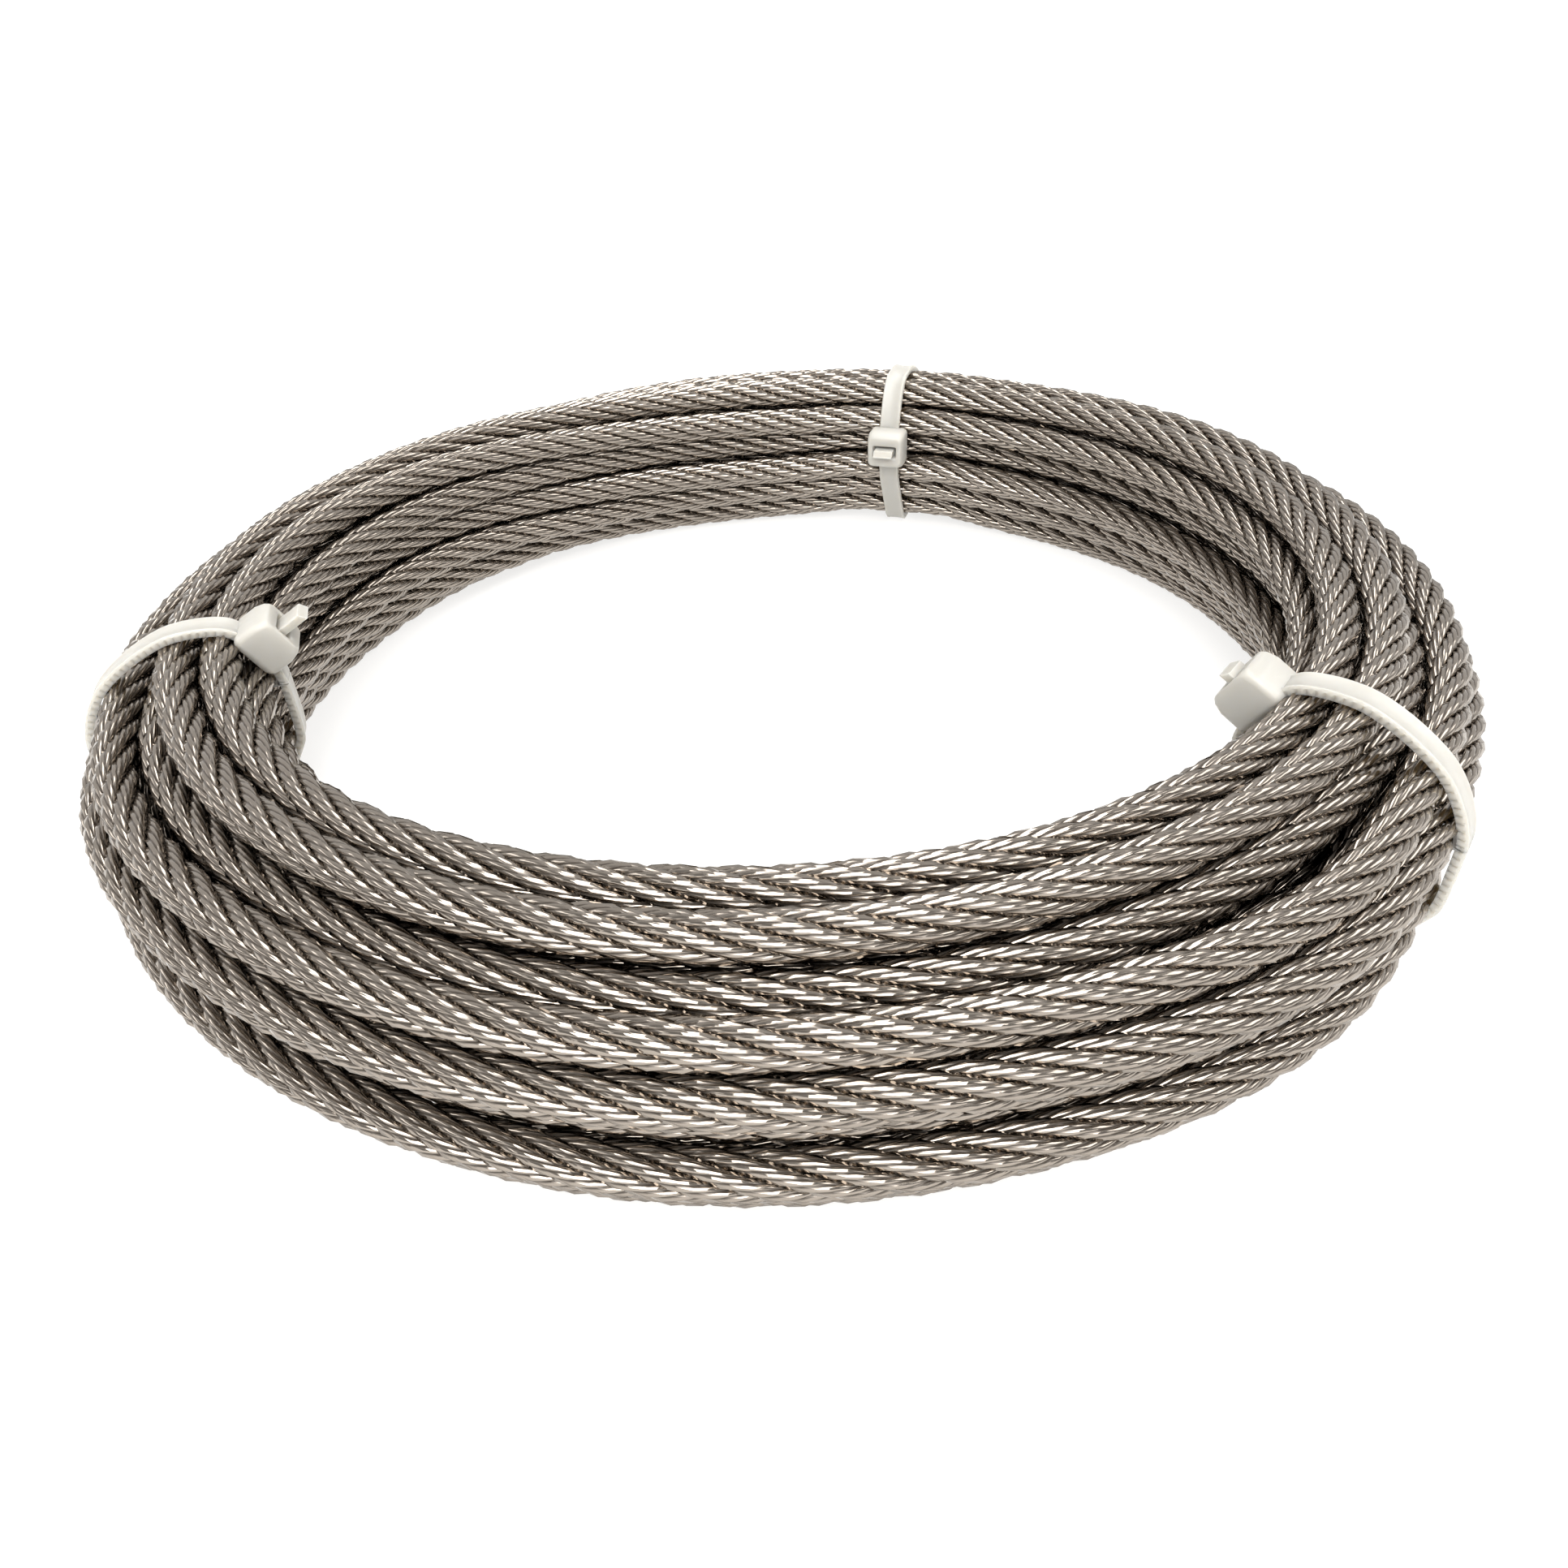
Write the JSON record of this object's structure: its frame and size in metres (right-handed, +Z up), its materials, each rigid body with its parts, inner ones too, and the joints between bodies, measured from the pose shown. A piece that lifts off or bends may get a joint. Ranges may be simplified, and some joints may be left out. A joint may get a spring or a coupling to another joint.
{
  "type": "coil of wire rope",
  "caption": "Coil of bare stranded steel wire rope, wound round and laid flat, its turns held together by cut-off plastic cable ties.",
  "frame": {"origin": "on the floor, on the axis of the coil", "axes": "+Z up along the coil's axis; the front of the picture is towards -Y, with +X to the right"},
  "size_m": [0.1787, 0.1751, 0.0295],
  "materials": {
    "rope": "bare stranded stainless wire",
    "tie": "natural moulded nylon"
  },
  "bodies": {
    "root": {"rope_coil": "rope", "cable_tie_left": "tie", "cable_tie_right": "tie", "cable_tie_back": "tie"}
  },
  "joints": []
}
